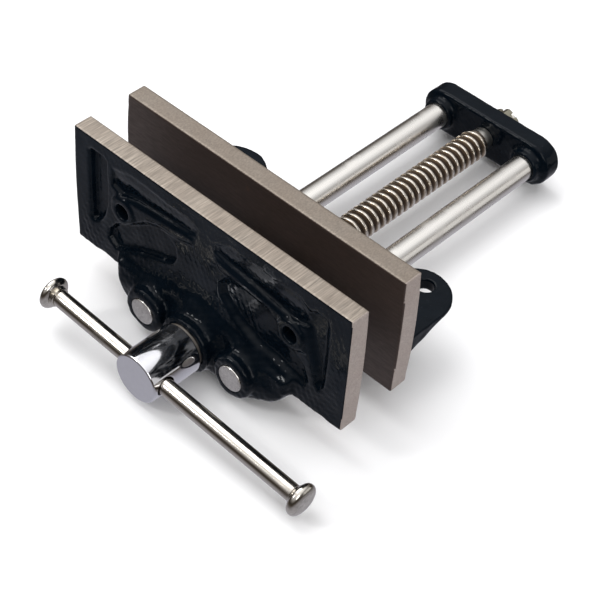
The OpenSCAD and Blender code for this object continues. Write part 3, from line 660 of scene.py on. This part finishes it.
def ring_mesh(rings):
    """Quads between equal rings of points, for lathed and threaded parts."""
    n = len(rings[0])
    pts = np.concatenate(rings)
    faces = []
    for i in range(len(rings) - 1):
        for j in range(n):
            k = (j + 1) % n
            faces.append((i * n + j, i * n + k, (i + 1) * n + k, (i + 1) * n + j))
    return pts, faces


def lathe(profile, segments, place):
    """Turned solid from (distance along the axis, radius) pairs; place(a, c, s) puts unit circle points."""
    angles = 2 * np.pi * np.arange(segments) / segments
    c, s = np.cos(angles), np.sin(angles)
    rings = [place(a, r * c, r * s) for a, r in profile]
    pts, faces = ring_mesh(rings)
    ends = (len(pts), len(pts) + 1)
    pts = np.concatenate([pts, place(profile[0][0], np.zeros(1), np.zeros(1)),
                          place(profile[-1][0], np.zeros(1), np.zeros(1))])
    last = (len(profile) - 1) * segments
    for j in range(segments):
        k = (j + 1) % segments
        faces.append((ends[0], k, j))
        faces.append((ends[1], last + j, last + k))
    return pts, faces


def along_y(x0):
    """The axis runs along +Y; a point's angle turns the way that keeps faces outward."""
    return lambda a, c, s: np.stack([x0 + s, np.full_like(s, a), AXIS + c], 1)


def rounded(points, r):
    """An (along, radius) profile whose corners are rounded by r."""
    p = [np.array(q, float) for q in points]
    out = [p[0]]
    for a, b, c in zip(p, p[1:], p[2:]):
        u, v = a - b, c - b
        lu, lv = np.linalg.norm(u), np.linalg.norm(v)
        k = min(r, 0.45 * lu, 0.45 * lv)
        s, e = b + u / lu * k, b + v / lv * k
        for t in np.linspace(0, 1, 5):
            out.append((1 - t) ** 2 * s + 2 * t * (1 - t) * b + t * t * e)
    out.append(p[-1])
    return [tuple(q) for q in out]


def dense(profile, gap):
    """Adds rings so that none are further apart than gap."""
    out = [profile[0]]
    for a, b in zip(profile, profile[1:]):
        m = max(1, int(math.ceil(math.hypot(b[0] - a[0], b[1] - a[1]) / gap)))
        out += [(a[0] + (b[0] - a[0]) * i / m, a[1] + (b[1] - a[1]) * i / m) for i in range(1, m + 1)]
    return out


def turned(name, profile, place, mats, body, nodes, segments=96, pick=None):
    pts, faces = lathe(profile, segments, place)
    ob = add_mesh(name, pts, faces, mats, pick)
    ob.data.set_sharp_from_angle(angle=math.radians(38))
    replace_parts(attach(ob, body), *nodes)
    return ob


def add_bars():
    for side, node in ((-1, "left_guide_bar"), (1, "right_guide_bar")):
        prof = rounded([(BAR_START, 0.0), (BAR_START, BAR_R), (BAR_END, BAR_R), (BAR_END, 0.0)], 0.7)
        prof = [prof[0], (BAR_START, 3.0), (BAR_START, 5.0)] + prof[1:]
        turned(node + "_ground", dense(prof, 6), along_y(side * BAR_X), [MATS["bar"], MATS["bar_end"]],
               "moving_jaw", [node],
               pick=lambda c, n: (np.abs(n[:, 1]) > 0.7).astype(int))


def screw_mesh():
    """One mesh: spigot, journal with its ring groove, helical thread, neck, tail."""
    t = THREAD
    n = 64
    # one turn of the thread: how far round the pitch, and how high between root and crest
    shape = [(0.00, 0.0), (0.04, 0.0), (0.10, 0.25), (0.18, 0.82), (0.22, 0.97), (0.26, 1.0), (0.37, 1.0),
             (0.48, 1.0), (0.52, 0.97), (0.56, 0.82), (0.64, 0.25), (0.70, 0.0), (0.85, -0.04)]
    length = t["end"] - t["start"]
    turns = math.floor(length / t["pitch"] - 2 / 3)
    z0 = (length - turns * t["pitch"]) / 2
    angles = 2 * np.pi * np.arange(n) / n
    rings = []

    def ring(y, r):
        return np.stack([r * np.cos(angles), y, AXIS - r * np.sin(angles)], 1)

    def plain(a, r):
        return ring(np.full(n, float(a)), np.full(n, float(r)))

    journal, groove, neck = 9.0, 7.9, 6.3
    journal_start, groove_start, groove_end, journal_end = -102.9, -83.9, -82.2, -81.2
    shoulder, tail_thread = 125.0, 138.2
    before = [(SPIGOT_START, 0.0), (SPIGOT_START, SPIGOT_R), (journal_start, SPIGOT_R),
              (journal_start, journal), (groove_start, journal), (groove_start, groove),
              (groove_end, groove), (groove_end, journal), (journal_end, journal),
              (t["start"], t["crest"]), (t["start"], t["root"])]
    after = [(t["end"], t["root"]), (t["end"], neck + 0.05), (t["end"] + 0.5, neck), (shoulder, neck),
             (shoulder, TAIL_R), (tail_thread, TAIL_R)]
    after += [(tail_thread + 0.5 * i, TAIL_R if i % 2 == 0 else TAIL_R - 0.4) for i in range(1, 20)]
    after += [(TAIL_END - 0.5, TAIL_R - 0.1), (TAIL_END, TAIL_R - 0.7), (TAIL_END, 0.0)]
    for a, r in before:
        rings.append(plain(a, r))
    rng = np.random.default_rng(5)
    nick = rng.uniform(0.93, 1.0, (turns + 3, n))
    for m in range(-1, turns + 1):
        for s, h in shape:
            y = t["start"] + z0 + t["pitch"] * (m + s + np.arange(n) / n)
            low = np.clip((y - t["start"] - z0) / (0.5 * t["pitch"]), 0, 1)
            high = np.clip((t["end"] - z0 - y) / (0.5 * t["pitch"]), 0, 1)
            r = t["root"] + (t["crest"] - t["root"]) * h * np.minimum(low, high)
            rings.append(ring(np.clip(y, t["start"], t["end"]), r))
    for a, r in after:
        rings.append(plain(a, r))
    pts, faces = ring_mesh(rings)
    # the helix steps on by one turn where the ring closes
    per = len(shape)
    first, last = len(before), len(before) + per * (turns + 2) - 1
    fixed = []
    for f in faces:
        i, j = divmod(f[0], n)
        if j == n - 1 and first <= i < last - per:
            fixed.append((f[0], (i + per) * n, (i + per + 1) * n, f[3]))
        elif j == n - 1 and i >= last - per and i < last:
            a, b = min(i + per, last), min(i + per + 1, last)
            fixed.append((f[0], a * n, b * n, f[3]))
        else:
            fixed.append(f)
    return pts, fixed


def add_screw():
    worn_end = THREAD["end"] - 2.6
    pts, faces = screw_mesh()
    ob = add_mesh("lead_screw_turned", pts, faces, [MATS["screw"], MATS["screw_plain"]],
                  lambda c, n: ((c[:, 1] < THREAD["start"] - 0.1) | (c[:, 1] > worn_end)).astype(int))
    clean(ob)
    ob.data.set_sharp_from_angle(angle=math.radians(50))
    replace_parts(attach(ob, "screw"), "lead_screw")


def clean(ob):
    """Merges points that meet and drops faces that have no area."""
    bm = bmesh.new()
    bm.from_mesh(ob.data)
    bmesh.ops.remove_doubles(bm, verts=bm.verts, dist=2e-6)
    bmesh.ops.dissolve_degenerate(bm, edges=bm.edges, dist=1e-6)
    bm.to_mesh(ob.data)
    bm.free()


def head(x, y, z):
    """The round head, bored across for the handle and from behind for the screw's spigot."""
    body = slab(disc(x, z, 0, AXIS, HEAD_R), y - HEAD_FRONT, 0.0, HEAD_LENGTH, 0.9)
    across = math.sin(TILT) * x + math.cos(TILT) * (z - AXIS)
    hole = np.hypot(y - HANDLE_Y, across) - 5.1
    body = smax(body, -hole, 0.9)
    return np.maximum(body, -slab(disc(x, z, 0, AXIS, SPIGOT_R), y, SPIGOT_START, 20))


def nut_body(x, y, z):
    """Castle nut with a chamfered back and six slots."""
    hexa = -1e9
    for k in range(3):
        a = math.radians(60 * k)
        hexa = np.maximum(hexa, np.abs(x * math.cos(a) + (z - AXIS) * math.sin(a)) - NUT_FLAT)
    r = np.hypot(x, z - AXIS)
    body = smax(smax(hexa, NUT_FRONT - y, 0.6), y - NUT_BACK, 0.5)
    body = smax(body, (r + (y - NUT_BACK) * 1.7 - NUT_FLAT) * 0.5, 0.4)
    body = smax(body, (r - (y - NUT_FRONT) * 1.7 - 7.7) * 0.5, 0.4)
    slot_half, slot_floor = 1.4, 144.2
    for k in range(3):
        a = math.radians(60 * k)
        across = -x * math.sin(a) + (z - AXIS) * math.cos(a)
        body = smax(body, -smax(np.abs(across) - slot_half, slot_floor - y, 0.6), 0.4)
    return np.maximum(body, -(r - TAIL_R - 0.05))


def along_handle(start, flip):
    """A lathe axis along the handle, from a point at that distance from the screw axis."""
    u = Vector((math.cos(TILT), 0, -math.sin(TILT)))
    up = Vector((math.sin(TILT), 0, math.cos(TILT)))
    mid = Vector((0, HANDLE_Y, AXIS))

    def place(a, c, s):
        d = start - a if flip else start + a
        k = s if flip else -s
        return np.stack([mid.x + d * u.x + c * up.x, mid.y + k, mid.z + d * u.z + c * up.z], 1)

    return place


def add_handle():
    length = HANDLE_RIGHT - HANDLE_LEFT
    rod = rounded([(0, 0.0), (0, ROD_R), (length, ROD_R), (length, 0.0)], 0.4)
    turned("handle_rod_drawn", dense(rod, 5), along_handle(HANDLE_LEFT, False), [MATS["nickel"]], "handle",
           ["handle_rod"], 72)
    neck = [(0.0, 2.0), (0.0, 4.9), (0.35, 5.35), (0.7, 4.75), (1.05, 5.45), (1.4, 4.85), (1.75, 5.6),
            (2.05, 5.3), (2.3, 6.4), (2.9, 7.7), (3.7, 8.4), (4.5, 8.6), (5.3, 8.35), (6.0, 7.5), (6.5, 6.1),
            (6.85, 4.0), (7.0, 1.5), (7.0, 0.0)]
    turned("left_knob_cap", dense(neck, 0.6), along_handle(HANDLE_LEFT, True), [MATS["knob"]], "handle",
           ["left_knob"], 80)
    disc_knob = [(0.0, 2.0), (0.0, 4.9), (0.6, 5.4), (1.4, 6.5), (2.1, 7.6), (2.8, 8.3), (3.6, 8.6),
                 (4.6, 8.6), (5.4, 8.3), (6.1, 7.6), (6.6, 6.7), (6.85, 5.9), (7.0, 5.2), (7.0, 0.0)]
    turned("right_knob_cap", dense(disc_knob, 0.6), along_handle(HANDLE_RIGHT, False), [MATS["knob"]],
           "handle", ["right_knob"], 80)


def add_head():
    step = 0.4
    ob = solid("screw_head_plated", head, (-14.5, -134, -31.5), (14.5, -101.5, -2), step, [MATS["chrome"]],
               true_normals=True)
    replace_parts(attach(ob, "screw"), "screw_head")
    ob = solid("tail_nut_cut", nut_body, (-12, 137.5, -28.5), (12, 150, -5), 0.3, [MATS["zinc"]])
    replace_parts(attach(ob, "screw"), "tail_nut")


# ---- floor, lights, world ----


def add_floor():
    me = bpy.data.meshes.new("floor")
    half_side, level = 12, cad_box[0].z - 0.0005
    corners = [(i * half_side, j * half_side, level) for i, j in ((-1, -1), (1, -1), (1, 1), (-1, 1))]
    me.from_pydata(corners, [], [(0, 1, 2, 3)])
    m = Mat("floor_paint", Roughness=0.6)
    tone = m.ramp(m.noise(3, 3, 0.5), (0.3, (0.86, 0.86, 0.865)), (0.7, (0.88, 0.88, 0.885)))
    me.materials.append(m.set(Base_Color=tone))
    ob = bpy.data.objects.new("floor", me)
    bpy.context.scene.collection.objects.link(ob)
    ob.visible_glossy = False


def add_light(name, place, size, power):
    """A soft panel that faces the vise; place and size are in metres, power in watts."""
    data = bpy.data.lights.new(name, "AREA")
    data.shape = "RECTANGLE"
    data.size, data.size_y = size
    data.energy = power
    ob = bpy.data.objects.new(name, data)
    bpy.context.scene.collection.objects.link(ob)
    ob.location = place
    ob.rotation_mode = "QUATERNION"
    ob.rotation_quaternion = (-Vector(place)).to_track_quat("-Z", "Y")


def add_world():
    """A studio that is dark round the horizon, grey below and bright overhead."""
    world = bpy.data.worlds.new("studio")
    bpy.context.scene.world = world
    world.use_nodes = True
    nt = world.node_tree
    bg = nt.nodes["Background"]
    co = nt.nodes.new("ShaderNodeTexCoord")
    sep = nt.nodes.new("ShaderNodeSeparateXYZ")
    half = nt.nodes.new("ShaderNodeMath")
    half.operation = "MULTIPLY_ADD"
    half.inputs[1].default_value = half.inputs[2].default_value = 0.5
    ramp = nt.nodes.new("ShaderNodeValToRGB")
    nt.links.new(co.outputs["Generated"], sep.inputs[0])
    nt.links.new(sep.outputs[2], half.inputs[0])
    nt.links.new(half.outputs[0], ramp.inputs["Fac"])
    nt.links.new(ramp.outputs["Color"], bg.inputs["Color"])
    stops = [(0.0, (0.60, 0.60, 0.66)), (0.22, (0.44, 0.43, 0.47)), (0.40, (0.09, 0.075, 0.06)),
             (0.53, (0.05, 0.042, 0.036)), (0.64, (0.22, 0.20, 0.185)), (0.80, (0.72, 0.72, 0.73)),
             (1.0, (1.9, 1.9, 1.92))]
    el = ramp.color_ramp.elements
    while len(el) < len(stops):
        el.new(0.5)
    for e, (p, c) in zip(el, stops):
        e.position = p
        e.color = (*c, 1)
    bg.inputs["Strength"].default_value = 0.9


add_camera()
add_castings()
add_bars()
add_screw()
add_handle()
add_head()
add_floor()
add_world()
add_light("key", (-1.0, 0.1, 1.5), (1.3, 1.6), 17)
add_light("glint", (-0.68, -1.0, 0.95), (0.22, 0.22), 4.5)
add_light("panel", (1.15, 0.85, 0.12), (1.3, 0.7), 2.0)
add_light("fill", (1.3, -0.7, 0.9), (0.8, 0.8), 6)
bpy.context.scene.view_settings.view_transform = "Standard"
